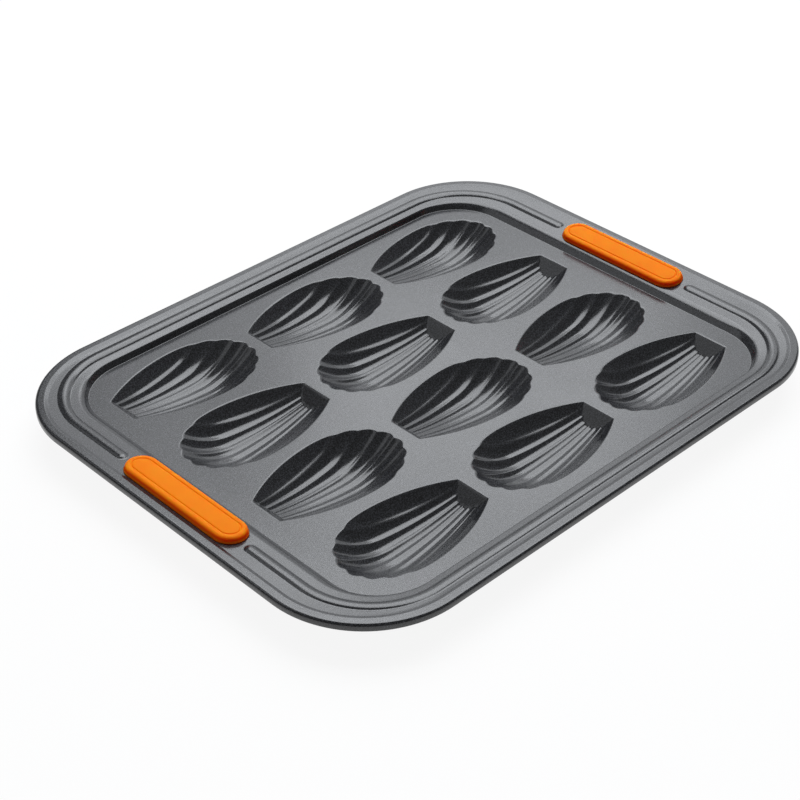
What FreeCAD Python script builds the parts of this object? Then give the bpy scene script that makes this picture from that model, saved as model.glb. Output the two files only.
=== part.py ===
import FreeCAD, Part
import math
import os

Vector = FreeCAD.Vector

# Madeleine pan: one pressed sheet with twelve shell cups, and a soft grip set through each end of its rim.
# Lengths in mm. X runs from grip to grip, Z is up, and the pan stands on its cup bottoms at z = 0.

# Sheet
sheet = 1.0                  # steel with its coating

# Cups: mouth outline, bed and flat end, measured from the middle of a cup, with the round tip towards +X
cup_columns = 3
cup_rows = 4
cup_gap_x = 7.7              # mouth to mouth, along a row
cup_gap_y = 8.2              # mouth to mouth, between rows
cup_flat_reach = 40.3        # to the flat end
cup_tip_reach = 42.0         # to the round tip
cup_widest_at = 9.0          # to the widest place
cup_flat_half = 9.8          # half-width at the flat end
cup_half_width = 23.7        # half-width at the widest place
cup_depth = 13.2             # depth of the bed at its deepest, between crests and channels
cup_deepest_at = 14.2        # to where the bed stops falling, from the flat end on
cup_flat_depth = 5.0         # depth of the bed at the flat end
cup_bowl_power = 2.13        # higher is a flatter bed with steeper sides
cup_flat_slope = 46.0        # degrees, slant of the flat end

# Flutes fan out from the flat end to the round tip
flute_count = 8
flute_height = 0.17          # crest to channel, for each mm of flute width
flute_crest_round = 0.35     # 0 is a sharp crest
flute_flat_spill = 0.6       # how far the fan is wider than the mouth at the flat end
flute_spill = 0.1            # the same at the widest place
flute_spread = 6.8           # how far the fan goes on widening from there to the tip
flute_flare = 5.4            # how far the flutes bend outwards over that stretch
flute_back_share = 0.6       # flutes show this much on the back of the sheet

# Deck round the cups
deck_margin_x = 10.2         # round tip to the foot of the wall
deck_margin_y = 9.7
deck_corner = 31.0

# Wall, sloping rim, border step and turned-down edge, going outwards
wall_rise = 3.5
wall_run_x = 4.0
wall_run_y = 1.2
rim_rise = 2.05
rim_run_x = 19.3
rim_run_y = 12.2
step_rise = 0.7
step_run = 1.8
border_width = 4.6           # top of the step to the outer edge
border_round = 1.6
edge_drop = 3.9              # top of the border to the lower edge of the turned-down lip

# Raised bead along the rim, ending beside the grips
bead_half = 3.0
bead_rise = 1.15
bead_offset_x = 0.35         # middle of the rim to the middle of the bead, outwards
bead_offset_y = 0.8
bead_end_gap = 3.5           # end of a grip to the end of the bead

# Grips: a pad on the rim, a neck through its slot and a flange under it
grip_length = 83.0
grip_side_gap = 0.65         # pad to the step, and to the edge of the wall
grip_thick = 3.3
grip_draft = 0.6
grip_top_round = 1.4
grip_line_inset = 2.8        # edge of the pad's top to the engraved line
grip_line_width = 1.0
grip_line_deep = 0.4
neck_inset = 4.5             # edge of the pad to the neck
flange_inset = 2.2           # edge of the pad to the flange
flange_thick = 1.8
flange_round = 0.8
slot_clearance = 0.2
seat_clearance = 0.05

# Plan sizes that follow
cup_pitch_x = cup_flat_reach + cup_tip_reach + cup_gap_x
cup_pitch_y = 2 * cup_half_width + cup_gap_y
deck_x = (cup_columns - 1) / 2 * cup_pitch_x + cup_tip_reach + deck_margin_x
deck_y = (cup_rows - 1) / 2 * cup_pitch_y + cup_half_width + deck_margin_y
wall_top_x = deck_x + wall_run_x
wall_top_y = deck_y + wall_run_y
rim_top_x = wall_top_x + rim_run_x
rim_top_y = wall_top_y + rim_run_y
step_top_x = rim_top_x + step_run
step_top_y = rim_top_y + step_run
outer_x = step_top_x + border_width
outer_y = step_top_y + border_width
wall_top_corner = deck_corner + (wall_run_x + wall_run_y) / 2
rim_top_corner = wall_top_corner + (rim_run_x + rim_run_y) / 2
step_top_corner = rim_top_corner + step_run
outer_corner = step_top_corner + border_width
bead_x = wall_top_x + rim_run_x / 2 + bead_offset_x
bead_y = wall_top_y + rim_run_y / 2 + bead_offset_y
bead_corner = wall_top_corner + (bead_x - wall_top_x + bead_y - wall_top_y) / 2
bead_radius = (bead_half ** 2 + bead_rise ** 2) / (2 * bead_rise)
grip_width = math.hypot(rim_run_x, rim_rise) - 2 * grip_side_gap

# Heights above the deck
rim_top = wall_rise + rim_rise
step_top = rim_top + step_rise
edge_low = step_top - edge_drop
below_all = -(sheet + bead_half + bead_rise + cup_depth)
cup_overrun = 3 * sheet      # how far the bed is drawn past the mouth before it is trimmed


def mouth_half_width(x):
    # Side arc from the flat end to the widest place, then half an ellipse to the tip.
    back = cup_widest_at + cup_flat_reach
    swell = cup_half_width - cup_flat_half
    radius = (back ** 2 + swell ** 2) / (2 * swell)
    return cup_half_width - radius + math.sqrt(radius ** 2 - (x - cup_widest_at) ** 2)


def bowl_share(x, y):
    # 0 along the middle of the bed, 1 at the mouth, more outside it.
    if x < cup_widest_at:
        return abs(y) / mouth_half_width(x)
    along = (x - cup_widest_at) / (cup_tip_reach - cup_widest_at)
    return math.hypot(along, y / cup_half_width)


def bowl_depth(x, y):
    # Depth of the plain bowl, without flutes. Outside the mouth it goes on rising at the slope of the mouth.
    back = max(0.0, (cup_deepest_at - x) / (cup_deepest_at + cup_flat_reach))
    bed = cup_depth - (cup_depth - cup_flat_depth) * back ** 2
    share = bowl_share(x, y)
    if share > 1:
        return -bed * cup_bowl_power * (share - 1)
    return bed * (1 - share ** cup_bowl_power)


def fan_half_width(x):
    # Half-width of the fan of flutes: a smooth curve through three places, and a flare towards the tip.
    places = (-cup_flat_reach, cup_widest_at, cup_tip_reach)
    widest = cup_half_width + flute_spill
    widths = (cup_flat_half + flute_flat_spill, widest, widest + flute_spread)
    total = 0.0
    for place, width in zip(places, widths):
        weight = 1.0
        for other in places:
            if other != place:
                weight *= (x - other) / (place - other)
        total += weight * width
    past = max(0.0, (x - cup_widest_at) / (cup_tip_reach - cup_widest_at))
    return total + flute_flare * past ** 2


def flute_depth(x, y):
    # Channels are deeper and crests shallower than the bowl. The outer flutes run out without another crest.
    width = 2 * fan_half_width(x) / flute_count
    last = 1 - 1 / flute_count
    across = max(-last, min(last, y / fan_half_width(x)))
    turn = math.pi * flute_count * (across + 1) / 2
    wave = math.sqrt(math.sin(turn) ** 2 + flute_crest_round ** 2)
    mean_wave = 2 / math.pi + flute_crest_round / 10
    return flute_height * width * (wave - mean_wave)


def back_thickness(x, y):
    # Straight-down thickness of a sheet of even thickness on the slope of the bowl.
    step = 0.05
    slope_x = (bowl_depth(x + step, y) - bowl_depth(x - step, y)) / (2 * step)
    slope_y = (bowl_depth(x, y + step) - bowl_depth(x, y - step)) / (2 * step)
    return sheet * math.sqrt(1 + slope_x ** 2 + slope_y ** 2)


def cup_points(back):
    # Points of the fluted bed in rows across the cup, wide enough to rise past the deck all round.
    along_steps = 34
    across_limit = 1.36
    across_steps = 96
    start = -cup_flat_reach - cup_overrun
    end = cup_tip_reach + cup_overrun
    rows = []
    for i in range(along_steps + 1):
        x = start + (end - start) * i / along_steps
        row = []
        for j in range(across_steps + 1):
            y = across_limit * (2 * j / across_steps - 1) * fan_half_width(x)
            depth = bowl_depth(x, y)
            if back:
                depth += back_thickness(x, y) + flute_back_share * flute_depth(x, y)
            else:
                depth += flute_depth(x, y)
            row.append(Vector(x, y, -depth))
        rows.append(row)
    return rows


def cup_block(back):
    # Solid that fills one cup from its bed to a lid: the hollow itself, or the back of the sheet round it.
    # Its two halves meet along the middle of the cup.
    surface = Part.BSplineSurface()
    surface.interpolate(cup_points(back))
    lid = -sheet / 2 if back else sheet
    outwards = sheet / math.sin(math.radians(cup_flat_slope)) if back else 0.0
    lean = 1 / math.tan(math.radians(cup_flat_slope))
    flat_end = -cup_flat_reach - outwards
    tip = cup_tip_reach + cup_overrun
    side = 2 * cup_half_width
    outline = [
        Vector(flat_end - lid * lean, -side, lid),
        Vector(tip, -side, lid),
        Vector(tip, -side, below_all),
        Vector(flat_end - below_all * lean, -side, below_all),
    ]
    half = Part.Face(Part.makePolygon(outline + outline[:1])).extrude(Vector(0, side, 0))
    other = half.copy()
    other.translate(Vector(0, side, 0))
    above = surface.toShape().extrude(Vector(0, 0, 4 * cup_depth))
    return half.common(above).fuse(other.common(above))


def cup_copies(block):
    # Every second row is turned half round.
    copies = []
    for column in range(cup_columns):
        for row in range(cup_rows):
            copy = block.copy()
            if row % 2:
                copy.rotate(Vector(0, 0, 0), Vector(0, 0, 1), 180)
            x = (column - (cup_columns - 1) / 2) * cup_pitch_x
            y = ((cup_rows - 1) / 2 - row) * cup_pitch_y
            copy.translate(Vector(x, y, 0))
            copies.append(copy)
    return copies


def lies_at(shape, z):
    return max(abs(shape.BoundBox.ZMin - z), abs(shape.BoundBox.ZMax - z)) < sheet / 100


def edges_at(shape, z):
    return [edge for edge in shape.Edges if lies_at(edge, z)]


def rounded_rectangle(half_x, half_y, corner, z):
    centre_x = half_x - corner
    centre_y = half_y - corner
    diagonal = corner * math.sqrt(0.5)
    edges = []
    for sx, sy in ((1, 1), (-1, 1), (-1, -1), (1, -1)):
        east = Vector(sx * half_x, sy * centre_y, z)
        middle = Vector(sx * (centre_x + diagonal), sy * (centre_y + diagonal), z)
        north = Vector(sx * centre_x, sy * half_y, z)
        first, last = (east, north) if sx * sy > 0 else (north, east)
        if edges:
            edges.append(Part.LineSegment(edges[-1].EndPoint, first))
        edges.append(Part.Arc(first, middle, last))
    edges.append(Part.LineSegment(edges[-1].EndPoint, edges[0].StartPoint))
    return Part.Wire([edge.toShape() for edge in edges])


def offset_corner(before, at, after):
    # Where the back of the sheet turns, under a corner of its section.
    normals = []
    for start, end in ((before, at), (at, after)):
        run = end[0] - start[0]
        rise = end[1] - start[1]
        length = math.hypot(run, rise)
        normals.append((rise / length, -run / length))
    (ax, az), (bx, bz) = normals
    reach = sheet / (1 + ax * bx + az * bz)
    return at[0] + reach * (ax + bx), at[1] + reach * (az + bz)


def section_stations(back):
    # Half-lengths, corner radius and height of the outlines that the rim passes through, going outwards.
    heights = (0.0, wall_rise, rim_top, step_top)
    halves_x = (deck_x, wall_top_x, rim_top_x, step_top_x)
    halves_y = (deck_y, wall_top_y, rim_top_y, step_top_y)
    corners = (deck_corner, wall_top_corner, rim_top_corner, step_top_corner)
    if not back:
        return list(zip(halves_x, halves_y, corners, heights))
    turned = []
    for halves in (halves_x, halves_y):
        points = list(zip(halves, heights))
        points = [(halves[0] - border_width, 0.0)] + points + [(halves[-1] + border_width, step_top)]
        turned.append([offset_corner(*points[i:i + 3]) for i in range(len(heights))])
    stations = []
    for i, corner in enumerate(corners):
        half_x, height_x = turned[0][i]
        half_y, height_y = turned[1][i]
        wider = (half_x - halves_x[i] + half_y - halves_y[i]) / 2
        stations.append((half_x, half_y, corner + wider, (height_x + height_y) / 2))
    return stations


def tray_block(back):
    # Solid under the face of the pan, or under the back of its sheet, without cups and bead.
    inset = sheet if back else 0.0
    top = step_top - inset
    low = below_all - (sheet if back else 0.0)
    outline = rounded_rectangle(outer_x - inset, outer_y - inset, outer_corner - inset, low)
    block = Part.Face(outline).extrude(Vector(0, 0, top - low))
    top_edges = edges_at(block, top)
    rounding = min(border_round, 0.95 * border_width) - inset
    if rounding > 0:
        block = block.makeFillet(rounding, top_edges)
    hollow = Part.makeLoft([rounded_rectangle(*station) for station in section_stations(back)], True, True)
    return block.cut(hollow)


def bead_tubes(radius):
    # Both halves of the bead as round tubes with ball ends; their lower part is inside the tray.
    share_x = (bead_x - wall_top_x) / rim_run_x
    share_y = (bead_y - wall_top_y) / rim_run_y
    z = wall_rise + rim_rise * (share_x + share_y) / 2 + bead_rise - bead_radius
    end_y = grip_length / 2 + bead_end_gap + bead_half
    upright = Vector(0, 0, 1)
    pieces = []
    for side in (-1, 1):
        end = Vector(side * bead_x, end_y, z)
        pieces.append(Part.makeSphere(radius, end))
        pieces.append(Part.makeCylinder(radius, bead_y - bead_corner - end_y, end, Vector(0, 1, 0)))
        turn = Part.makeTorus(bead_corner, radius, Vector(0, 0, 0), upright, 0, 360, 90)
        turn.rotate(Vector(0, 0, 0), upright, 0 if side > 0 else 90)
        turn.translate(Vector(side * (bead_x - bead_corner), bead_y - bead_corner, z))
        pieces.append(turn)
    along = bead_x - bead_corner
    pieces.append(Part.makeCylinder(radius, 2 * along, Vector(-along, bead_y, z), Vector(1, 0, 0)))
    tube = pieces[0].multiFuse(pieces[1:])
    other = tube.copy()
    other.rotate(Vector(0, 0, 0), upright, 180)
    return [tube, other]


def obround(width, length, z):
    radius = width / 2
    straight = length / 2 - radius
    edges = [
        Part.LineSegment(Vector(radius, -straight, z), Vector(radius, straight, z)),
        Part.Arc(Vector(radius, straight, z), Vector(0, length / 2, z), Vector(-radius, straight, z)),
        Part.LineSegment(Vector(-radius, straight, z), Vector(-radius, -straight, z)),
        Part.Arc(Vector(-radius, -straight, z), Vector(0, -length / 2, z), Vector(radius, -straight, z)),
    ]
    return Part.Wire([edge.toShape() for edge in edges])


def obround_block(width, length, low, high):
    return Part.Face(obround(width, length, low)).extrude(Vector(0, 0, high - low))


def grip():
    # Laid flat, with the top of the rim at z = 0.
    top = seat_clearance + grip_thick
    top_width = grip_width - 2 * grip_draft
    top_length = grip_length - 2 * grip_draft
    foot_line = obround(grip_width, grip_length, seat_clearance)
    top_line = obround(top_width, top_length, top)
    pad = Part.makeLoft([foot_line, top_line], True, True)
    pad = pad.makeFillet(grip_top_round, edges_at(pad, top))
    outside = 2 * grip_line_inset
    inside = outside + 2 * grip_line_width
    line = obround_block(top_width - outside, top_length - outside, top - grip_line_deep, top + grip_thick)
    island = obround_block(top_width - inside, top_length - inside, top - grip_line_deep, top + grip_thick)
    pad = pad.cut(line.cut(island))
    under = -sheet - seat_clearance
    slim = 2 * neck_inset
    neck = obround_block(grip_width - slim, grip_length - slim, under, seat_clearance)
    wide = 2 * flange_inset
    flange = obround_block(grip_width - wide, grip_length - wide, under - flange_thick, under)
    flange = flange.makeFillet(flange_round, edges_at(flange, under - flange_thick))
    return pad.fuse(neck).fuse(flange).removeSplitter()


def slot():
    slim = 2 * (neck_inset - slot_clearance)
    return obround_block(grip_width - slim, grip_length - slim, -3 * sheet, 3 * sheet)


def on_rim(shape, side):
    # Tilts a flat shape to the slope of the rim and puts it at one end of the pan.
    slope = math.degrees(math.atan2(rim_rise, rim_run_x))
    shape.rotate(Vector(0, 0, 0), Vector(0, 1, 0), -slope)
    shape.translate(Vector(wall_top_x + rim_run_x / 2, 0, wall_rise + rim_rise / 2))
    if side < 0:
        shape.rotate(Vector(0, 0, 0), Vector(0, 0, 1), 180)
    return shape


def cup_cell():
    # One finished cup in a patch of deck.
    half_x = cup_tip_reach + 2 * sheet
    half_y = cup_half_width + 2 * sheet
    patch = Part.Face(rounded_rectangle(half_x, half_y, 0.9 * half_y, -sheet)).extrude(Vector(0, 0, sheet))
    return patch.fuse(cup_block(True)).cut(cup_block(False))


def with_cups(tray):
    # Both faces of the deck are opened at each cup's mouth, and the faces of the cup close them again.
    decks = (0.0, -sheet)
    faces = [face for face in tray.Faces if not any(lies_at(face, z) for z in decks)]
    outlines = {z: [face.OuterWire for face in tray.Faces if lies_at(face, z)] for z in decks}
    for cup in cup_copies(cup_cell()):
        faces += [face for face in cup.Faces if face.BoundBox.ZMin < -1.5 * sheet]
        for z in decks:
            patches = [face for face in cup.Faces if lies_at(face, z)]
            for patch in patches:
                outlines[z] += [wire for wire in patch.Wires if not wire.isSame(patch.OuterWire)]
    faces += [Part.Face(outlines[z]) for z in decks]
    shell = Part.makeShell(faces)
    shell.sewShape()
    return Part.makeSolid(shell)


def pan_sheet():
    face = tray_block(False).multiFuse(bead_tubes(bead_radius))
    low = below_all - 2 * sheet
    lip_ring = Part.Face(rounded_rectangle(outer_x + sheet, outer_y + sheet, outer_corner + sheet, low))
    lip_ring = lip_ring.extrude(Vector(0, 0, edge_low - low))
    keep = Part.Face(rounded_rectangle(step_top_x, step_top_y, step_top_corner, low))
    lip_ring = lip_ring.cut(keep.extrude(Vector(0, 0, edge_low - low)))
    tray = face.cut([tray_block(True), lip_ring] + bead_tubes(bead_radius - sheet))
    tray = tray.cut([on_rim(slot(), side) for side in (-1, 1)])
    return with_cups(tray.removeSplitter())


stand_height = max(-point.z for row in cup_points(True) for point in row)
parts = {
    "pan_sheet": pan_sheet(),
    "grip_left": on_rim(grip(), -1),
    "grip_right": on_rim(grip(), 1),
}
os.makedirs("parts", exist_ok=True)
for name, shape in parts.items():
    shape.translate(Vector(0, 0, stand_height))
    box = shape.BoundBox
    size = f"{box.XLength:.2f} x {box.YLength:.2f} x {box.ZLength:.2f}"
    print(name, shape.isValid(), len(shape.Solids), "solids", size, f"{shape.Volume:.1f} mm3")
    shape.exportStep(f"parts/{name}.step")
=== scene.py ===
import math

import bmesh
import bpy
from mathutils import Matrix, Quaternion, Vector
from mathutils.geometry import delaunay_2d_cdt


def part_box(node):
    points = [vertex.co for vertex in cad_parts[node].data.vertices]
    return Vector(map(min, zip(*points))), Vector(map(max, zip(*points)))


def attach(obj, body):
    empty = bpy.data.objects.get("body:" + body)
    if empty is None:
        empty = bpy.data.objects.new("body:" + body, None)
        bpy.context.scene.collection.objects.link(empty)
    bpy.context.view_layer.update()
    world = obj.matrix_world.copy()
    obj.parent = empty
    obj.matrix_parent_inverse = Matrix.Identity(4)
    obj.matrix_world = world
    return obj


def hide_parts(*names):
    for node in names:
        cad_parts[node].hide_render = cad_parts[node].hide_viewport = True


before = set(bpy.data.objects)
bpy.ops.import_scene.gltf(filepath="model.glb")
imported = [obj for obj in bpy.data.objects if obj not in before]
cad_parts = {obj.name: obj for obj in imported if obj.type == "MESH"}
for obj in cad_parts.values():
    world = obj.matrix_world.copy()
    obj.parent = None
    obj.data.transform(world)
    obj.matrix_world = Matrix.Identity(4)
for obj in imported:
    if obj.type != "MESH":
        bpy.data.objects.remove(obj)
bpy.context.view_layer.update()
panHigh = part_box("pan_sheet")[1]
mm = 0.001
print("frame loaded:", sorted(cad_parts))


def toLinear(hexText):
    channels = [int(hexText[i:i + 2], 16) / 255 for i in (1, 3, 5)]
    return [c / 12.92 if c <= 0.04045 else ((c + 0.055) / 1.055) ** 2.4 for c in channels] + [1.0]


# one call per node: settings go to an input of that name or number, or else to the node itself
def addNode(tree, kind, settings=None, links=None):
    node = tree.nodes.new(kind)
    for name, value in (settings or {}).items():
        if isinstance(name, int) or name in node.inputs:
            node.inputs[name].default_value = value
        else:
            setattr(node, name, value)
    for name, source in (links or {}).items():
        tree.links.new(source, node.inputs[name])
    return node


def makeMaterial(name):
    material = bpy.data.materials.new(name)
    material.use_nodes = True
    material.node_tree.nodes.clear()
    return material, material.node_tree


# points in mm become a smooth mesh object in metres, with all faces turned outwards
def meshObject(name, points, faces, material):
    mesh = bpy.data.meshes.new(name)
    mesh.from_pydata([(x * mm, y * mm, z * mm) for x, y, z in points], [], faces)
    shaper = bmesh.new()
    shaper.from_mesh(mesh)
    loose = [v for v in shaper.verts if not v.link_faces]
    bmesh.ops.delete(shaper, geom=loose, context="VERTS")
    bmesh.ops.recalc_face_normals(shaper, faces=shaper.faces)
    openEdges = sum(1 for e in shaper.edges if len(e.link_faces) != 2)
    shaper.to_mesh(mesh)
    shaper.free()
    mesh.polygons.foreach_set("use_smooth", [True] * len(mesh.polygons))
    mesh.materials.append(material)
    piece = bpy.data.objects.new(name, mesh)
    bpy.context.scene.collection.objects.link(piece)
    print(name, len(mesh.vertices), "points,", len(mesh.polygons), "faces, open edges:", openEdges)
    return piece


# a soft corner in place of max(value, 0), within reach on either side
def softFloor(value, reach):
    if value >= reach:
        return value
    if value <= -reach:
        return 0.0
    return (value + reach) ** 2 / (4 * reach)


# the lower of two depths, with a soft corner where they meet
def softLower(a, b, reach):
    return b - softFloor(b - a, reach)


# steel sheet pressed into deck, cups and rim: sizes in mm, heights from the top of the deck
pan = {
    "sheet": 1.0,
    "borderWidth": 4.6, "borderRound": 1.6, "edgeDrop": 3.9,
    "stepRun": 1.8, "stepRise": 0.7, "stepRound": 1.6, "creaseRound": 0.7,
    "rimRunX": 19.3, "rimRunY": 12.2, "rimRise": 2.05,
    "wallRunX": 4.0, "wallRunY": 1.2, "wallRise": 3.5, "footRound": 0.5,
    "wallRoundX": 8.0, "wallRoundY": 1.2,   # the wall rolls softly into the rim at the grips' ends
    "deckCorner": 31.0,
    "deckStrip": 1.5,          # flat deck that belongs to the rim's own mesh
    "guard": 0.25,             # a flat strip beside each rounding keeps its shading off the flat faces
    "cornerSteps": 28, "sideSteps": 16, "arcSteps": 6, "wideArcSteps": 12, "lipSteps": 6,
}
# raised bead along the rim, a little outside its middle
bead = {
    "half": 3.0, "rise": 1.15, "offsetX": 0.35, "offsetY": 0.8, "footSoft": 0.16,
    "endY": 48.0,              # middle of the round ends beside the grips
    "meshReach": 0.9, "meshSteps": 22,                # close mesh lines, to a little past its foot
    "innerShares": (0.35, 0.6), "outerShares": (0.15, 0.6), "creaseGap": 1.2,   # mesh lines on either side
}
# cut in the rim for the neck of a grip: whole mesh faces go, up to the reach past its size, under the pad
slot = {"half": 5.2, "endY": 37.2, "reachX": 1.2, "reachY": 0.5}
# shell cups: x runs from the flat end to the round tip
cup = {
    "columns": 3, "rows": 4, "pitchX": 90.0, "pitchY": 55.6,
    "flatReach": 40.3, "tipReach": 42.0, "widestAt": 9.0, "flatHalf": 9.8, "halfWidth": 23.7,
    "depth": 13.2, "deepestAt": 14.2, "flatDepth": 5.0, "bowlPower": 2.13, "flatSlope": 46.0,
    "flutes": 8, "fluteHeight": 0.17, "crestRound": 0.35, "flatSpill": 0.6, "spill": 0.1, "spread": 6.8,
    "tipFlare": 5.4, "backShare": 0.6,
    "mouthSoft": 0.55, "backSoft": 1.2, "footSoft": 0.5,
}

outerX = panHigh.x / mm
outerY = panHigh.y / mm
stepTop = pan["wallRise"] + pan["rimRise"] + pan["stepRise"]
deckTop = panHigh.z / mm - stepTop
deckX = outerX - pan["borderWidth"] - pan["stepRun"] - pan["rimRunX"] - pan["wallRunX"]
deckY = outerY - pan["borderWidth"] - pan["stepRun"] - pan["rimRunY"] - pan["wallRunY"]


# section of the rim: points out from the middle of the pan, with the direction that the sheet runs in
def rimSection(deckHalf, wallRun, wallRound, rimRun, beadOffset):
    wallTop = deckHalf + wallRun
    rimTop = wallTop + rimRun
    step = rimTop + pan["stepRun"]
    outer = step + pan["borderWidth"]
    heights = [0.0, 0.0, pan["wallRise"], pan["wallRise"] + pan["rimRise"], stepTop, stepTop]
    corners = list(zip([deckHalf - pan["deckStrip"], deckHalf, wallTop, rimTop, step, outer], heights))
    corners.append((outer, stepTop - pan["edgeDrop"] + pan["sheet"] / 2))
    few, many = pan["arcSteps"], pan["wideArcSteps"]
    rounds = [(pan["footRound"], few), (wallRound, many), (pan["creaseRound"], few)]
    rounds += [(pan["stepRound"], few), (pan["borderRound"], many)]
    points = [(corners[0][0], corners[0][1], 0.0, None)]
    for i, (radius, steps) in enumerate(rounds, 1):
        (ax, az), (bx, bz), (cx, cz) = corners[i - 1:i + 2]
        before = math.atan2(bz - az, bx - ax)
        after = math.atan2(cz - bz, cx - bx)
        turn = after - before
        tangent = radius * math.tan(abs(turn) / 2)
        startX = bx - tangent * math.cos(before)
        startZ = bz - tangent * math.sin(before)
        side = 1 if turn > 0 else -1
        centreX = startX - side * radius * math.sin(before)
        centreZ = startZ + side * radius * math.cos(before)
        guardX = startX - pan["guard"] * math.cos(before)
        guardZ = startZ - pan["guard"] * math.sin(before)
        points.append((guardX, guardZ, before, None))
        for k in range(steps + 1):
            angle = before + turn * k / steps
            x = centreX + side * radius * math.sin(angle)
            z = centreZ - side * radius * math.cos(angle)
            points.append((x, z, angle, None))
        guardX = points[-1][0] + pan["guard"] * math.cos(after)
        guardZ = points[-1][1] + pan["guard"] * math.sin(after)
        points.append((guardX, guardZ, after, None))
        if i == 2:
            points += rimPoints(points[-1], corners[3], after, wallTop, rimRun, beadOffset)
    points.append((*corners[-1], -math.pi / 2, None))
    return points


# points across the sloping rim, close together on the bead, each with its distance from the bead's middle
def rimPoints(first, last, slope, wallTop, rimRun, beadOffset):
    beadAt = wallTop + rimRun / 2 + beadOffset
    span = bead["half"] + bead["meshReach"]
    count = bead["meshSteps"]
    onBead = [span * (2 * k / count - 1) for k in range(count + 1)]
    inside = [first[0] + (beadAt - span - first[0]) * share for share in bead["innerShares"]]
    crease = last[0] - bead["creaseGap"]
    outside = [beadAt + span + (crease - beadAt - span) * share for share in bead["outerShares"]]
    places = [(x, x - beadAt) for x in inside]
    places += [(beadAt + away, away) for away in onBead]
    places += [(x, x - beadAt) for x in outside]
    return [(x, first[1] + (x - first[0]) * math.tan(slope), slope, away) for x, away in places]


# mesh lines along half an X side, in mm from its middle: even at the grip, close together round the end
# of the bead, and further apart beyond it
sideLines = {
    "gripStep": 6.2, "gripCount": 7, "gripEnd": 41.0,
    "beadStart": 44.0, "beadStep": 0.45, "beadCount": 17, "beyond": (54.0, 58.0, 64.0, 72.0, 80.0),
}


# one quarter of every outline round the pan, from the middle of an X side to the middle of a Y side
def quarterPlaces():
    straight = beadY - beadCorner
    lines = [k * sideLines["gripStep"] for k in range(sideLines["gripCount"])] + [sideLines["gripEnd"]]
    lines += [sideLines["beadStart"] + k * sideLines["beadStep"] for k in range(sideLines["beadCount"])]
    lines += sideLines["beyond"]
    places = [("x", y / straight) for y in lines] + [("x", 1.0)]
    steps = pan["cornerSteps"]
    places += [("corner", k / steps) for k in range(1, steps)]
    steps = pan["sideSteps"]
    places += [("y", 1 - k / steps) for k in range(steps + 1)]
    return places


def loopPlaces():
    quarter = quarterPlaces()
    loop = [(1, 1, *p) for p in quarter]
    loop += [(-1, 1, *p) for p in reversed(quarter[:-1])]
    loop += [(-1, -1, *p) for p in quarter[1:]]
    loop += [(1, -1, *p) for p in reversed(quarter[1:-1])]
    return loop


def cornerOf(halfX, halfY):
    return pan["deckCorner"] + (halfX - deckX + halfY - deckY) / 2


beadX = deckX + pan["wallRunX"] + pan["rimRunX"] / 2 + bead["offsetX"]
beadY = deckY + pan["wallRunY"] + pan["rimRunY"] / 2 + bead["offsetY"]
beadCorner = cornerOf(beadX, beadY)
beadRadius = (bead["half"] ** 2 + bead["rise"] ** 2) / (2 * bead["rise"])


# a place on one outline; the share tells an X side (0) from a Y side (1), with the corner between
def outlinePoint(halfX, halfY, place):
    sx, sy, kind, value = place
    corner = cornerOf(halfX, halfY)
    straightX = halfX - corner
    straightY = halfY - corner
    if kind == "x":
        return sx * halfX, sy * straightY * value, 0.0
    if kind == "y":
        return sx * straightX * value, sy * halfY, 1.0
    angle = value * math.pi / 2
    share = value * value * (3 - 2 * value)
    return sx * (straightX + corner * math.cos(angle)), sy * (straightY + corner * math.sin(angle)), share


# height of the bead over the rim; beside a grip it ends in a round dome
def beadHeight(y, away, onSide, back):
    if onSide and abs(y) < bead["endY"]:
        away = math.hypot(away, bead["endY"] - abs(y))
    radius = beadRadius - (pan["sheet"] if back else 0.0)
    rise = math.sqrt(max(radius ** 2 - away ** 2, 0.0)) - (radius - bead["rise"])
    return softFloor(rise, bead["footSoft"])


# closed rings of points from the deck out to the lip, on the face of the sheet and on its back
def rimLoops():
    sectionX = rimSection(deckX, pan["wallRunX"], pan["wallRoundX"], pan["rimRunX"], bead["offsetX"])
    sectionY = rimSection(deckY, pan["wallRunY"], pan["wallRoundY"], pan["rimRunY"], bead["offsetY"])
    places = loopPlaces()
    loops = []
    for back in (False, True):
        side = []
        inset = pan["sheet"] if back else 0.0
        for (outX, zX, angleX, awayX), (outY, zY, angleY, awayY) in zip(sectionX, sectionY):
            halfX = outX + inset * math.sin(angleX)
            halfY = outY + inset * math.sin(angleY)
            lowX = zX - inset * math.cos(angleX)
            lowY = zY - inset * math.cos(angleY)
            ring = []
            for place in places:
                x, y, share = outlinePoint(halfX, halfY, place)
                z = lowX + (lowY - lowX) * share
                if awayX is not None:
                    away = awayX + (awayY - awayX) * share
                    z += beadHeight(y, away, place[2] == "x", back)
                ring.append((x, y, z))
            side.append(ring)
        loops.append(side)
    # the cut lower edge of the lip, rounded from the face to the back
    half = pan["sheet"] / 2
    edge = []
    for k in range(1, pan["lipSteps"]):
        angle = math.pi * k / pan["lipSteps"]
        shift = half * (math.cos(angle) - 1)
        drop = half * math.sin(angle)
        ring = []
        for place in places:
            x, y, _ = outlinePoint(outerX + shift, outerY + shift, place)
            ring.append((x, y, stepTop - pan["edgeDrop"] + half - drop))
        edge.append(ring)
    return places, sectionX, loops[0], edge, loops[1]


# half the width of a cup's mouth, an arc from the flat end to the widest place
def mouthHalf(x, margin=0.0):
    back = cup["widestAt"] + cup["flatReach"]
    swell = cup["halfWidth"] - cup["flatHalf"]
    radius = (back ** 2 + swell ** 2) / (2 * swell)
    return cup["halfWidth"] + margin - radius + math.sqrt(radius ** 2 - (x - cup["widestAt"]) ** 2)


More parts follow.
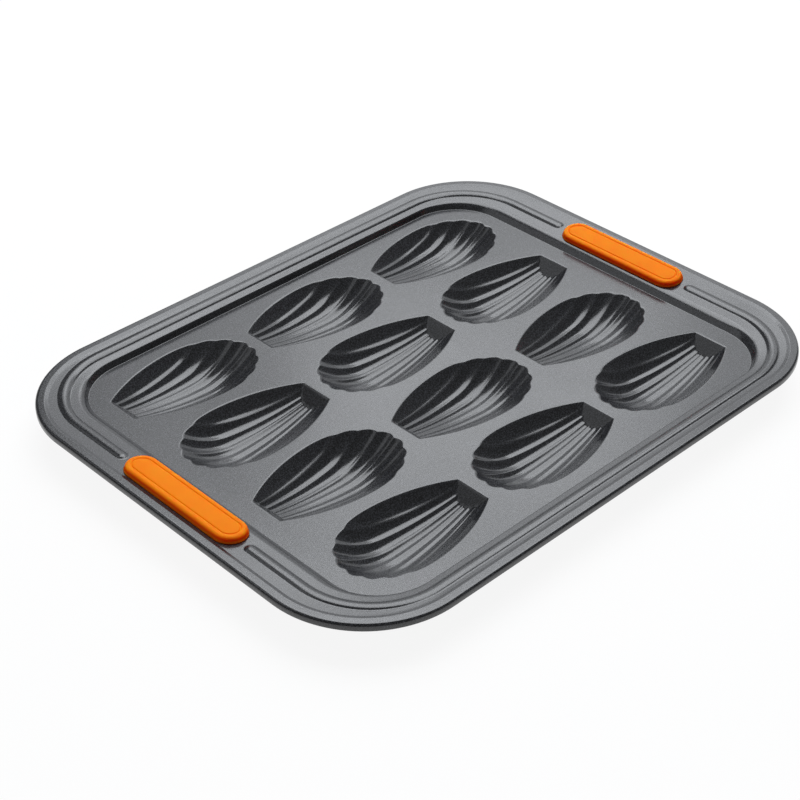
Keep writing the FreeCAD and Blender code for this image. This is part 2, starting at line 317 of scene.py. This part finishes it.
# half the width of the fan of flutes, a curve through three widths that flares at the tip
def fanHalf(x):
    places = (-cup["flatReach"], cup["widestAt"], cup["tipReach"])
    widest = cup["halfWidth"] + cup["spill"]
    widths = (cup["flatHalf"] + cup["flatSpill"], widest, widest + cup["spread"])
    total = 0.0
    for place, width in zip(places, widths):
        weight = 1.0
        for other in places:
            if other != place:
                weight *= (x - other) / (place - other)
        total += weight * width
    past = max(0.0, (x - cup["widestAt"]) / (cup["tipReach"] - cup["widestAt"]))
    return total + cup["tipFlare"] * past ** 2


# 0 along the middle of the bed, 1 at the mouth, more outside it
def bowlShare(x, y):
    if x < cup["widestAt"]:
        return abs(y) / mouthHalf(x)
    along = (x - cup["widestAt"]) / (cup["tipReach"] - cup["widestAt"])
    return math.hypot(along, y / cup["halfWidth"])


# depth of the cup without its flutes; outside the mouth it goes on above the deck
def bowlDepth(x, y):
    past = max(0.0, (cup["deepestAt"] - x) / (cup["deepestAt"] + cup["flatReach"]))
    bed = cup["depth"] - (cup["depth"] - cup["flatDepth"]) * past ** 2
    share = bowlShare(x, y)
    if share > 1:
        return -bed * cup["bowlPower"] * (share - 1)
    return bed * (1 - share ** cup["bowlPower"])


# crests stand above the bowl and channels lie below it; the outer flutes run out without another crest
def fluteDepth(x, y):
    width = 2 * fanHalf(x) / cup["flutes"]
    edge = 1 - 1 / cup["flutes"]
    across = max(-edge, min(edge, y / fanHalf(x)))
    wave = math.hypot(math.sin(math.pi * cup["flutes"] * (across + 1) / 2), cup["crestRound"])
    meanWave = 2 / math.pi + cup["crestRound"] / 10   # about the mean, so flutes leave the depth as it is
    return cup["fluteHeight"] * width * (wave - meanWave)


# height of the sheet at a cup, on its face or on its back
def cupHeight(x, y, back):
    slope = math.radians(cup["flatSlope"])
    depth = bowlDepth(x, y)
    flat = (x + cup["flatReach"]) * math.tan(slope)
    if not back:
        depth = softLower(depth + fluteDepth(x, y), flat, cup["footSoft"])
        return -softFloor(depth, cup["mouthSoft"])
    step = 0.05                # mm, to read the slope of the bowl
    runX = (bowlDepth(x + step, y) - bowlDepth(x - step, y)) / (2 * step)
    runY = (bowlDepth(x, y + step) - bowlDepth(x, y - step)) / (2 * step)
    depth += pan["sheet"] * math.sqrt(1 + runX ** 2 + runY ** 2) + cup["backShare"] * fluteDepth(x, y)
    depth = softLower(depth, flat + pan["sheet"] / math.cos(slope), cup["footSoft"])
    return -pan["sheet"] - softFloor(depth - pan["sheet"], cup["backSoft"])


# mesh of a cup: lines across one flute and from the last crest to the border, steps in mm along the flutes
# in the fine run at the flat end and after it, steps round the tip, and a margin of flat deck
faceMesh = {
    "inFlute": (0.0, 0.025, 0.055, 0.09, 0.14, 0.2, 0.28, 0.38,
                0.5, 0.62, 0.72, 0.8, 0.86, 0.91, 0.945, 0.975),
    "outLines": 18, "fine": 0.4, "coarse": 1.2, "tipSteps": 44, "margin": 2.2,
}
backMesh = {
    "inFlute": (0.0, 0.06, 0.18, 0.34, 0.5, 0.66, 0.82, 0.94),
    "outLines": 9, "fine": 0.8, "coarse": 2.4, "tipSteps": 22, "margin": 2.8,
}
cupMesh = {"fineRun": 9, "outPower": 0.8, "tipPower": 1.5, "searchSteps": 40}


# mesh lines of a cup run along its flutes, closer together at the crests
def acrossPlaces(lines):
    flutes = cup["flutes"]
    crests = [2 * k / flutes - 1 for k in range(1, flutes)]
    inner = [crest + 2 / flutes * share for crest in crests[:-1] for share in lines["inFlute"]] + [crests[-1]]
    count = lines["outLines"]
    outer = [(k / count) ** cupMesh["outPower"] for k in range(1, count + 1)]
    return inner, outer


# points and faces of one cup with a margin of flat deck, and the border that the deck joins
def cupGrid(back):
    lines = backMesh if back else faceMesh
    margin = lines["margin"]
    inner, outer = acrossPlaces(lines)
    widest = cup["widestAt"]
    start = -cup["flatReach"] - margin
    fine = lines["fine"]
    fineRun = margin + cupMesh["fineRun"]
    fineCount = round(fineRun / fine)
    coarseCount = round((widest - start - fineRun) / lines["coarse"])
    straight = [start + fine * k for k in range(fineCount)]
    begin = start + fine * fineCount
    straight += [begin + (widest - begin) * k / coarseCount for k in range(coarseCount)]
    edgeCrest = inner[-1]

    def acrossAt(x):
        limit = mouthHalf(x, margin) / fanHalf(x)
        right = [edgeCrest + (limit - edgeCrest) * share for share in outer]
        return [-value for value in reversed(right)] + inner + right

    points = []
    rows = []
    for x in straight:
        row = []
        for across in acrossAt(x):
            y = across * fanHalf(x)
            row.append(len(points))
            points.append((x, y, cupHeight(x, y, back)))
        rows.append(row)
    atWidest = acrossAt(widest)
    ends = []                  # where each line along the flutes meets the border round the tip
    for across in atWidest:
        low, high = widest, cup["tipReach"] + margin
        for _ in range(cupMesh["searchSteps"]):
            middle = (low + high) / 2
            along = (middle - widest) / (cup["tipReach"] + margin - widest)
            inside = math.hypot(along, across * fanHalf(middle) / (cup["halfWidth"] + margin)) < 1
            low, high = (middle, high) if inside else (low, middle)
        ends.append(low)
    for k in range(lines["tipSteps"] + 1):
        share = 1 - (1 - k / lines["tipSteps"]) ** cupMesh["tipPower"]
        row = []
        for i, across in enumerate(atWidest):
            if k and i in (0, len(atWidest) - 1):
                row.append(rows[-1][i])
                continue
            x = widest + (ends[i] - widest) * share
            y = across * fanHalf(x)
            row.append(len(points))
            points.append((x, y, cupHeight(x, y, back)))
        rows.append(row)
    faces = []
    for low, high in zip(rows, rows[1:]):
        for i in range(len(low) - 1):
            face = []
            for index in (low[i], low[i + 1], high[i + 1], high[i]):
                if index not in face:
                    face.append(index)
            if len(face) > 2:
                faces.append(face)
    border = rows[0] + [row[-1] for row in rows[1:len(straight) + 1]]
    border += list(reversed(rows[-1][:-1])) + [row[0] for row in reversed(rows[1:len(straight)])]
    return points, faces, border


# middles of the cups; every other row is turned half round
def cupPlaces():
    for row in range(cup["rows"]):
        for column in range(cup["columns"]):
            turn = -1 if row % 2 else 1
            x = (column - (cup["columns"] - 1) / 2) * cup["pitchX"]
            y = ((cup["rows"] - 1) / 2 - row) * cup["pitchY"]
            yield x, y, turn


def insideCup(x, y, margin):
    if x < cup["widestAt"]:
        return x > -cup["flatReach"] - margin and abs(y) < mouthHalf(x, margin)
    along = (x - cup["widestAt"]) / (cup["tipReach"] + margin - cup["widestAt"])
    return math.hypot(along, y / (cup["halfWidth"] + margin)) < 1


# flat deck between the outline at the foot of the wall and the borders of the cups
def deckFaces(points, outline, borders, margin):
    used = []
    edges = []
    for loop in [outline] + borders:
        first = len(used)
        used += loop
        edges += [(first + k, first + (k + 1) % len(loop)) for k in range(len(loop))]
    flat = [Vector(points[index][:2]) for index in used]
    insideOnly, tolerance = 1, 1e-5
    corners, _, triangles, origins, _, _ = delaunay_2d_cdt(flat, edges, [], insideOnly, tolerance)
    places = list(cupPlaces())
    faces = []
    for triangle in triangles:
        x = sum(corners[i].x for i in triangle) / 3
        y = sum(corners[i].y for i in triangle) / 3
        if any(insideCup(turn * (x - cx), turn * (y - cy), margin) for cx, cy, turn in places):
            continue
        faces.append([used[origins[i][0]] for i in triangle])
    return faces


# the whole sheet: rim with its two slots, cups and deck, on the face and on the back
def panPoints():
    places, section, face, edge, backFace = rimLoops()
    loops = face + edge + list(reversed(backFace))
    count = len(places)
    stations = len(face)
    total = len(loops)
    points = [point for ring in loops for point in ring]
    middle = outerX - pan["borderWidth"] - pan["stepRun"] - pan["rimRunX"] / 2
    slotX = slot["half"] + slot["reachX"]
    slotY = slot["endY"] + slot["reachY"]
    inSlot = [k for k in range(stations - 1)
              if section[k][0] - middle > -slotX and section[k + 1][0] - middle < slotX]
    faces = []
    cutFaces = []
    for k in range(total - 1):
        level = k if k < stations else total - 2 - k
        for j in range(count):
            after = (j + 1) % count
            quad = [k * count + j, k * count + after, (k + 1) * count + after, (k + 1) * count + j]
            along = max(abs(points[i][1]) for i in quad)
            onSide = places[j][2] == "x" and places[after][2] == "x"
            if level in inSlot and onSide and along < slotY:
                if k < stations:
                    cutFaces.append((k, j, after))
                continue
            faces.append(quad)
    # walls of the two slots, from the face of the sheet to its back, at edges that one cut face has alone
    sides = {}
    for k, j, after in cutFaces:
        around = [(k, j), (k, after), (k + 1, after), (k + 1, j)]
        for a, b in zip(around, around[1:] + around[:1]):
            key = tuple(sorted((a, b)))
            sides[key] = sides.get(key, 0) + 1
    for ((ka, ja), (kb, jb)), times in sides.items():
        if times == 1:
            backA = (total - 1 - ka) * count + ja
            backB = (total - 1 - kb) * count + jb
            faces.append([ka * count + ja, kb * count + jb, backB, backA])
    outlines = {False: list(range(count)), True: list(range((total - 1) * count, total * count))}
    for back in (False, True):
        cupPoints, cupFaces, border = cupGrid(back)
        borders = []
        for cx, cy, turn in cupPlaces():
            first = len(points)
            points += [(cx + turn * x, cy + turn * y, z) for x, y, z in cupPoints]
            faces += [[first + i for i in f] for f in cupFaces]
            borders.append([first + i for i in border])
        margin = backMesh["margin"] if back else faceMesh["margin"]
        faces += deckFaces(points, outlines[back], borders, margin)
    return [(x, y, z + deckTop) for x, y, z in points], faces


# moulded silicone grip: pad, neck through the slot and flange below, laid flat with the rim at height 0
grip = {
    "length": 83.0, "sideGap": 0.65, "thick": 3.3, "draft": 0.6, "topRound": 1.7, "footRound": 0.35,
    "lineInset": 2.8, "lineWidth": 0.9, "lineDeep": 0.42, "crown": 0.12,
    "neckInset": 4.5, "flangeInset": 2.2, "flangeThick": 1.8, "flangeRound": 0.8, "flangeBreak": 0.15,
    "seat": 0.05,              # gap to the sheet, above and below
    "neckGuard": 0.2, "sideGuard": 0.3,               # flat strips beside the roundings
    "sideSteps": 30, "endSteps": 28, "lineSteps": 12, "topSteps": 10, "footSteps": 4, "flangeSteps": 6,
    "crownShares": (0.98, 0.85, 0.7, 0.55, 0.3, 0.12), "middleShare": 0.98,
}


# inset from the foot of the pad and height, from the middle of the top, out and down, to the middle below
def gripProfile():
    top = grip["seat"] + grip["thick"]
    under = -pan["sheet"] - grip["seat"]
    low = under - grip["flangeThick"]
    lineAt = grip["draft"] + grip["lineInset"] + grip["lineWidth"] / 2
    half = gripWidth() / 2
    profile = []
    for share in grip["crownShares"]:
        profile.append((lineAt + grip["lineWidth"] + (half - lineAt - grip["lineWidth"]) * share,
                        top + grip["crown"] * (1 - (1 - share) ** 2)))
    for k in range(grip["lineSteps"] + 1):   # sunk line, with soft sides that run out wider than the line
        across = 1 - 2 * k / grip["lineSteps"]
        groove = grip["lineDeep"] * (0.5 + 0.5 * math.cos(math.pi * across))
        profile.append((lineAt + across * grip["lineWidth"] * 0.75, top - groove))
    roundTop = grip["topRound"]
    for k in range(grip["topSteps"] + 1):
        angle = math.pi / 2 * k / grip["topSteps"]
        profile.append((grip["draft"] + roundTop * (1 - math.sin(angle)),
                        top - roundTop * (1 - math.cos(angle))))
    foot = grip["footRound"]
    profile.append((grip["draft"] * 0.4, grip["seat"] + foot + grip["sideGuard"]))   # low on the drafted side
    for k in range(grip["footSteps"] + 1):
        angle = math.pi / 2 * k / grip["footSteps"]
        profile.append((foot * (1 - math.cos(angle)), grip["seat"] + foot * (1 - math.sin(angle))))
    neck = grip["neckInset"]
    profile += [(neck - grip["neckGuard"], grip["seat"]), (neck, grip["seat"])]
    profile += [(neck, under), (neck - grip["neckGuard"], under)]
    flange, edge = grip["flangeInset"], grip["flangeRound"]
    profile += [(flange + grip["flangeBreak"], under), (flange, under - grip["flangeBreak"])]
    for k in range(grip["flangeSteps"] + 1):
        angle = math.pi / 2 * k / grip["flangeSteps"]
        profile.append((flange + edge * (1 - math.cos(angle)), low + edge * (1 - math.sin(angle))))
    profile += [(flange + edge + grip["sideGuard"], low), (half * grip["middleShare"], low)]
    return profile


def gripWidth():
    return math.hypot(pan["rimRunX"], pan["rimRise"]) - 2 * grip["sideGap"]


# outline with straight sides and half-round ends
def obround(width, length):
    radius = width / 2
    straight = length / 2 - radius
    ring = []
    for k in range(grip["sideSteps"]):
        ring.append((radius, straight * (2 * k / grip["sideSteps"] - 1)))
    for k in range(grip["endSteps"]):
        angle = math.pi * k / grip["endSteps"]
        ring.append((radius * math.cos(angle), straight + radius * math.sin(angle)))
    return ring + [(-x, -y) for x, y in ring]


def gripPoints(side):
    width = gripWidth()
    profile = gripProfile()
    rings = [obround(width - 2 * inset, grip["length"] - 2 * inset) for inset, _ in profile]
    slope = math.atan2(pan["rimRise"], pan["rimRunX"])
    middle = deckX + pan["wallRunX"] + pan["rimRunX"] / 2
    base = deckTop + pan["wallRise"] + pan["rimRise"] / 2
    points = []
    for ring, (_, z) in zip(rings, profile):
        for x, y in ring:
            px = middle + x * math.cos(slope) - z * math.sin(slope)
            pz = base + x * math.sin(slope) + z * math.cos(slope)
            points.append((side * px, side * y, pz))
    count = len(rings[0])
    faces = []
    for k in range(len(rings) - 1):
        for j in range(count):
            after = (j + 1) % count
            faces.append([k * count + j, k * count + after, (k + 1) * count + after, (k + 1) * count + j])
    # the slim strip left in the middle is closed by bars from side to side
    straight = grip["sideSteps"]
    steps = straight + grip["endSteps"]
    for first in (0, (len(rings) - 1) * count):
        ladder = [(first + k, first + (steps + straight - k) % count) for k in range(straight + 1)]
        for (a, b), (c, d) in zip(ladder, ladder[1:]):
            faces.append([a, c, d, b])
        faces.append([first + k for k in range(straight, steps + 1)])
        faces.append([first + k % count for k in range(steps + straight, 2 * steps + 1)])
    return points, faces


# carbon steel sheet under a sprayed and baked PTFE non-stick coat:
# dark grey, satin, with a fine orange-peel grain that breaks up reflections and a faint mica speckle
def coatedSteel():
    look = {
        "colour": "#101113", "speckle": "#36373b", "roughness": 0.19, "roughSpread": 0.03, "ior": 1.6,
        "grainMm": 0.9, "speckleMm": 0.7,   # really about 0.2 mm each, drawn coarser so that they show
        "grainHeightMm": 0.02, "grainStrength": 0.8,
        "cloudMm": 40.0,                    # slow drift of the sprayed coat's roughness
    }
    material, tree = makeMaterial("coatedSteelSprayed")
    place = addNode(tree, "ShaderNodeTexCoord").outputs["Object"]
    grain = addNode(tree, "ShaderNodeTexNoise",
                    {"Scale": 1 / (look["grainMm"] * mm), "Detail": 3.0}, {"Vector": place})
    cloud = addNode(tree, "ShaderNodeTexNoise",
                    {"Scale": 1 / (look["cloudMm"] * mm), "Detail": 2.0}, {"Vector": place})
    speck = addNode(tree, "ShaderNodeTexNoise",
                    {"Scale": 1 / (look["speckleMm"] * mm), "Detail": 1.0}, {"Vector": place})
    speckMask = addNode(tree, "ShaderNodeMapRange",
                        {"From Min": 0.4, "From Max": 0.68}, {"Value": speck.outputs["Fac"]})
    colour = addNode(tree, "ShaderNodeMix",
                     {"data_type": "RGBA", 6: toLinear(look["colour"]), 7: toLinear(look["speckle"])},
                     {0: speckMask.outputs["Result"]})
    rough = addNode(tree, "ShaderNodeMapRange",
                    {"From Min": 0.3, "From Max": 0.7, "To Min": look["roughness"] - look["roughSpread"],
                     "To Max": look["roughness"] + look["roughSpread"]}, {"Value": cloud.outputs["Fac"]})
    bump = addNode(tree, "ShaderNodeBump",
                   {"Strength": look["grainStrength"], "Distance": look["grainHeightMm"] * mm},
                   {"Height": grain.outputs["Fac"]})
    shader = addNode(tree, "ShaderNodeBsdfPrincipled", {"IOR": look["ior"]},
                     {"Base Color": colour.outputs[2], "Roughness": rough.outputs["Result"],
                      "Normal": bump.outputs["Normal"]})
    addNode(tree, "ShaderNodeOutputMaterial", {}, {"Surface": shader.outputs["BSDF"]})
    return material


# silicone rubber moulded in a fine-blasted tool: warm orange, dull, and light goes some way into it
def mouldedSilicone():
    look = {
        # side: painted shade, the redder orange painted on the grips' sloping sides
        "colour": "#ea820c", "deep": "#e47006", "side": "#f04400",
        "roughness": 0.55, "ior": 1.41, "surfaceShine": 0.06,
        "scatter": 0.85, "scatterMm": 4.0, "scatterRadius": (1.0, 0.16, 0.04),
        "blastMm": 0.6,                     # really about 0.1 mm, drawn coarser so that it shows
        "blastHeightMm": 0.05, "blastStrength": 0.1,
        "cloudMm": 14.0, "cloudShare": 0.35,
    }
    material, tree = makeMaterial("siliconeMoulded")
    coordinates = addNode(tree, "ShaderNodeTexCoord")
    place = coordinates.outputs["Object"]
    cloud = addNode(tree, "ShaderNodeTexNoise",
                    {"Scale": 1 / (look["cloudMm"] * mm), "Detail": 3.0}, {"Vector": place})
    blast = addNode(tree, "ShaderNodeTexNoise",
                    {"Scale": 1 / (look["blastMm"] * mm), "Detail": 2.0}, {"Vector": place})
    share = addNode(tree, "ShaderNodeMapRange",
                    {"From Min": 0.35, "From Max": 0.75, "To Max": look["cloudShare"]},
                    {"Value": cloud.outputs["Fac"]})
    colour = addNode(tree, "ShaderNodeMix",
                     {"data_type": "RGBA", 6: toLinear(look["colour"]), 7: toLinear(look["deep"])},
                     {0: share.outputs["Result"]})
    # painted shade: faces that turn away from level are painted a redder orange, in place of the red shade
    # that light gone further through the rubber gives the sides
    facing = addNode(tree, "ShaderNodeSeparateXYZ", {}, {"Vector": coordinates.outputs["Normal"]})
    level = addNode(tree, "ShaderNodeMath", {"operation": "ABSOLUTE"}, {0: facing.outputs["Z"]})
    paintedSideShadeShare = addNode(tree, "ShaderNodeMapRange",
                        {"From Min": 0.15, "From Max": 0.9, "To Min": 1.0, "To Max": 0.0},
                        {"Value": level.outputs[0]})
    colour = addNode(tree, "ShaderNodeMix", {"data_type": "RGBA", 7: toLinear(look["side"])},
                     {0: paintedSideShadeShare.outputs["Result"], 6: colour.outputs[2]})
    bump = addNode(tree, "ShaderNodeBump",
                   {"Strength": look["blastStrength"], "Distance": look["blastHeightMm"] * mm},
                   {"Height": blast.outputs["Fac"]})
    shader = addNode(tree, "ShaderNodeBsdfPrincipled",
                     {"IOR": look["ior"], "Roughness": look["roughness"],
                      "Specular IOR Level": look["surfaceShine"], "Subsurface Weight": look["scatter"],
                      "Subsurface Radius": look["scatterRadius"], "Subsurface Scale": look["scatterMm"] * mm},
                     {"Base Color": colour.outputs[2], "Normal": bump.outputs["Normal"]})
    addNode(tree, "ShaderNodeOutputMaterial", {}, {"Surface": shader.outputs["BSDF"]})
    return material


steelCoat = coatedSteel()
silicone = mouldedSilicone()
panPiece = meshObject("panSheetPressed", *panPoints(), steelCoat)
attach(panPiece, "root")
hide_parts("pan_sheet")
for side, name, node in ((-1, "gripLeftMoulded", "grip_left"), (1, "gripRightMoulded", "grip_right")):
    gripPiece = meshObject(name, *gripPoints(side), silicone)
    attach(gripPiece, "root")
    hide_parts(node)
print("pan and grips made")

# studio: white floor in a dim room; behind the pan a high and a low soft light, the low one brighter in its
# middle, and a glow just above the floor; a weak fill from the left
studio = {
    "floorSize": 12.0, "floorColour": "#f2f2f2", "whiteShare": 0.9,
    "roomStrength": 0.17, "lightColour": "#f8fbff",
    # azimuth from +X, distance along the floor, height, size in metres and power in watts
    "lights": {
        "overheadBack": (35.0, 0.81, 1.83, (1.95, 1.45), 43.0),
        "lowBack": (34.0, 1.64, 1.15, (1.9, 0.95), 9.0),
        "middleBack": (42.0, 1.55, 1.19, (0.6, 0.42), 1.7),
        "backdrop": (32.0, 2.2, 0.42, (2.6, 0.8), 4.8),
        "sideFill": (128.0, 1.2, 1.25, (0.9, 0.8), 1.4),
    },
}


# floor that is white to the eye and in reflections, and still takes the pan's shadow
def whiteFloor():
    material, tree = makeMaterial("floorPaper")
    path = addNode(tree, "ShaderNodeLightPath")
    seen = addNode(tree, "ShaderNodeMath", {"operation": "MAXIMUM"},
                   {0: path.outputs["Is Camera Ray"], 1: path.outputs["Is Transmission Ray"]})
    seen = addNode(tree, "ShaderNodeMath", {"operation": "MAXIMUM"},
                   {0: seen.outputs[0], 1: path.outputs["Is Glossy Ray"]})
    share = addNode(tree, "ShaderNodeMath",
                    {"operation": "MULTIPLY", 1: studio["whiteShare"]}, {0: seen.outputs[0]})
    paper = addNode(tree, "ShaderNodeBsdfDiffuse", {"Color": toLinear(studio["floorColour"])})
    glow = addNode(tree, "ShaderNodeEmission", {"Color": (1, 1, 1, 1), "Strength": 1.0})
    mix = addNode(tree, "ShaderNodeMixShader", {},
                  {0: share.outputs[0], 1: paper.outputs["BSDF"], 2: glow.outputs["Emission"]})
    addNode(tree, "ShaderNodeOutputMaterial", {}, {"Surface": mix.outputs["Shader"]})
    half = studio["floorSize"] / 2
    mesh = bpy.data.meshes.new("floor")
    corners = [(-half, -half, 0), (half, -half, 0), (half, half, 0), (-half, half, 0)]
    mesh.from_pydata(corners, [], [(0, 1, 2, 3)])
    mesh.materials.append(material)
    floor = bpy.data.objects.new("floor", mesh)
    bpy.context.scene.collection.objects.link(floor)


def softLight(name, azimuth, distance, height, size, power):
    lamp = bpy.data.lights.new(name, "AREA")
    lamp.shape = "RECTANGLE"
    lamp.size, lamp.size_y = size
    lamp.energy = power
    lamp.color = toLinear(studio["lightColour"])[:3]
    light = bpy.data.objects.new(name, lamp)
    angle = math.radians(azimuth)
    light.location = (distance * math.cos(angle), distance * math.sin(angle), height)
    light.rotation_euler = (-light.location).to_track_quat("-Z", "Y").to_euler()
    bpy.context.scene.collection.objects.link(light)


def studioWorld():
    world = bpy.data.worlds.new("studioRoom")
    world.use_nodes = True
    tree = world.node_tree
    tree.nodes.clear()
    path = addNode(tree, "ShaderNodeLightPath")
    seen = addNode(tree, "ShaderNodeMath", {"operation": "MAXIMUM"},
                   {0: path.outputs["Is Camera Ray"], 1: path.outputs["Is Transmission Ray"]})
    strength = addNode(tree, "ShaderNodeMix", {"data_type": "FLOAT", 2: studio["roomStrength"], 3: 1.0},
                       {0: seen.outputs[0]})
    back = addNode(tree, "ShaderNodeBackground", {"Color": (1, 1, 1, 1)}, {"Strength": strength.outputs[0]})
    addNode(tree, "ShaderNodeOutputWorld", {}, {"Surface": back.outputs["Background"]})
    bpy.context.scene.world = world


whiteFloor()
studioWorld()
for name, light in studio["lights"].items():
    softLight(name, *light)
print("floor and lights set")

# camera in mm from the middle of the deck
view = {
    "place": (-523.0, -530.2, 521.0), "target": (-24.8, -7.8, 0.0), "roll": -0.45,
    "lens": 79.36, "sensor": 36.0,
}
cameraData = bpy.data.cameras.new("camera")
cameraData.sensor_width = view["sensor"]
cameraData.lens = view["lens"]
camera = bpy.data.objects.new("camera", cameraData)
deckCentre = Vector((0, 0, deckTop * mm))
camera.location = Vector(view["place"]) * mm + deckCentre
aim = (Vector(view["target"]) * mm + deckCentre) - camera.location
turned = aim.to_track_quat("-Z", "Y") @ Quaternion((0, 0, 1), math.radians(view["roll"]))
camera.rotation_mode = "QUATERNION"
camera.rotation_quaternion = turned
bpy.context.scene.collection.objects.link(camera)
bpy.context.scene.camera = camera
bpy.context.scene.view_settings.view_transform = "Standard"
print("camera set")
